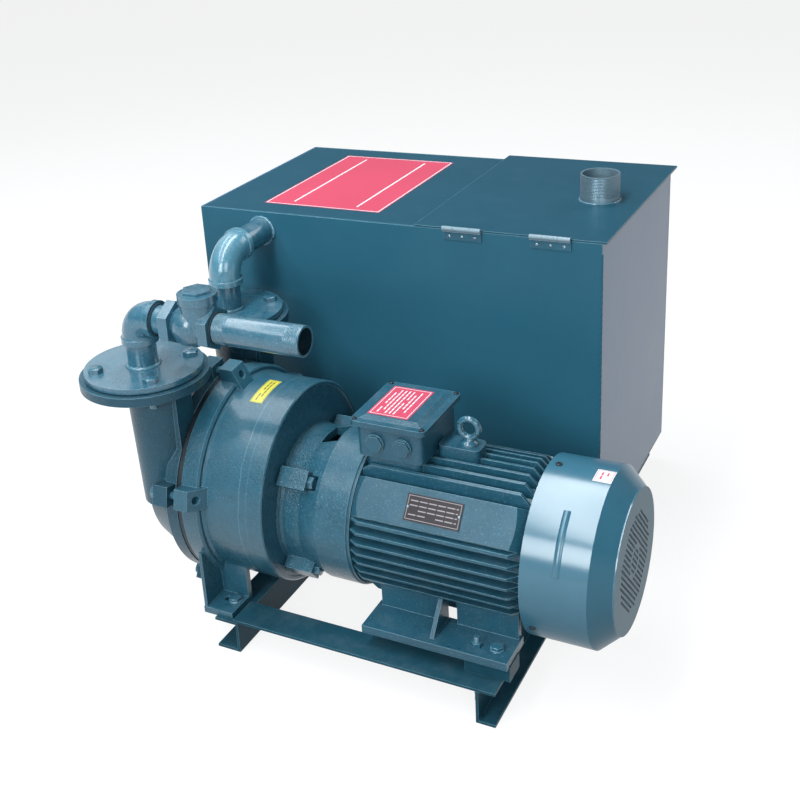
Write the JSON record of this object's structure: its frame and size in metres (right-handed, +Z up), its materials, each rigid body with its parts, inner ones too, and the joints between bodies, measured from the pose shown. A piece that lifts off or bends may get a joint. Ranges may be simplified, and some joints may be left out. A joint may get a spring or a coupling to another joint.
{
  "type": "liquid ring vacuum pump",
  "caption": "Liquid ring vacuum pump close-coupled to a finned electric motor, piped to a recirculating water tank with a hinged lid, all on a welded skid.",
  "frame": {"origin": "middle of the footprint on the floor", "axes": "+X along the motor shaft towards the fan, +Y from the pump towards the tank, +Z up"},
  "size_m": [0.782, 0.8309, 0.578],
  "materials": {
    "cast_paint": "teal enamel over rough cast iron",
    "sheet_paint": "teal enamel on welded steel sheet",
    "pipe_paint": "teal enamel on steel pipe and plate",
    "hardware": "painted over steel fasteners",
    "bare_steel": "turned steel",
    "bronze": "cast bronze",
    "copper": "varnished copper wire",
    "black_plastic": "moulded black plastic",
    "black_rubber": "matt sealing material",
    "plate": "dark anodised plate"
  },
  "bodies": {
    "base": {"left_channel": "sheet_paint", "right_angle": "sheet_paint", "front_rail": "sheet_paint", "rear_rail": "sheet_paint", "rear_pad": "sheet_paint", "foot_spacers": "sheet_paint", "foot_bolts": "hardware", "jack_screws": "hardware", "tank_front": "sheet_paint", "tank_back": "sheet_paint", "tank_ends": "sheet_paint", "tank_bottom": "sheet_paint", "tank_top": "sheet_paint", "tank_baffle": "sheet_paint", "hinge_leaves": "hardware", "hinge_screws": "hardware", "end_cover": "cast_paint", "port_plate": "bare_steel", "cover_gaskets": "black_rubber", "pump_casing": "cast_paint", "cover_bolts": "hardware", "seal_seat": "black_rubber", "lantern": "cast_paint", "lantern_bolts": "hardware", "suction_flange": "pipe_paint", "discharge_flange": "pipe_paint", "flange_gaskets": "black_rubber", "flange_bolts": "hardware", "suction_elbow": "cast_paint", "suction_nipple": "pipe_paint", "seal_rings": "black_rubber", "valve_body": "cast_paint", "valve_bonnet": "cast_paint", "inlet_pipe": "pipe_paint", "discharge_elbow": "cast_paint", "discharge_pipe": "pipe_paint", "water_pipe": "pipe_paint", "motor_frame": "cast_paint", "stator_core": "bare_steel", "windings": "copper", "bearing_outers": "bare_steel", "fan_shield": "cast_paint", "cowl": "sheet_paint", "terminal_box": "cast_paint", "terminal_lid": "cast_paint", "cable_plugs": "pipe_paint", "cover_screws": "hardware", "eyebolt": "hardware", "nameplate": "plate"},
    "rotor": {"impeller": "bronze", "seal_head": "bare_steel", "rotor_core": "bare_steel", "shaft": "bare_steel", "bearing_inners": "bare_steel", "fan": "black_plastic"},
    "cages": {"ball_cages": "bare_steel"},
    "lid": {"lid": "sheet_paint", "vent_pipe": "bare_steel", "lid_leaves": "hardware"},
    "flap": {"valve_flap": "bronze"}
  },
  "joints": [
    {"name": "rotor_spin", "type": "hinge", "parent": "base", "child": "rotor", "pos_m": [0.123, -0.2135, 0.189], "axis": [1, 0, 0], "continuous": true},
    {"name": "cage_spin", "type": "hinge", "parent": "base", "child": "cages", "pos_m": [0.123, -0.2135, 0.189], "axis": [1, 0, 0], "continuous": true},
    {"name": "lid_hinge", "type": "hinge", "parent": "base", "child": "lid", "pos_m": [0.138, 0.0085, 0.537], "axis": [1, 0, 0], "range_deg": [0, 100]},
    {"name": "flap_swing", "type": "hinge", "parent": "base", "child": "flap", "pos_m": [-0.169, -0.3235, 0.508], "axis": [0, 1, 0], "range_deg": [0, 55]}
  ],
  "couplings": [
    {"joint": "cage_spin", "follows": "rotor_spin", "ratio": 0.4}
  ]
}
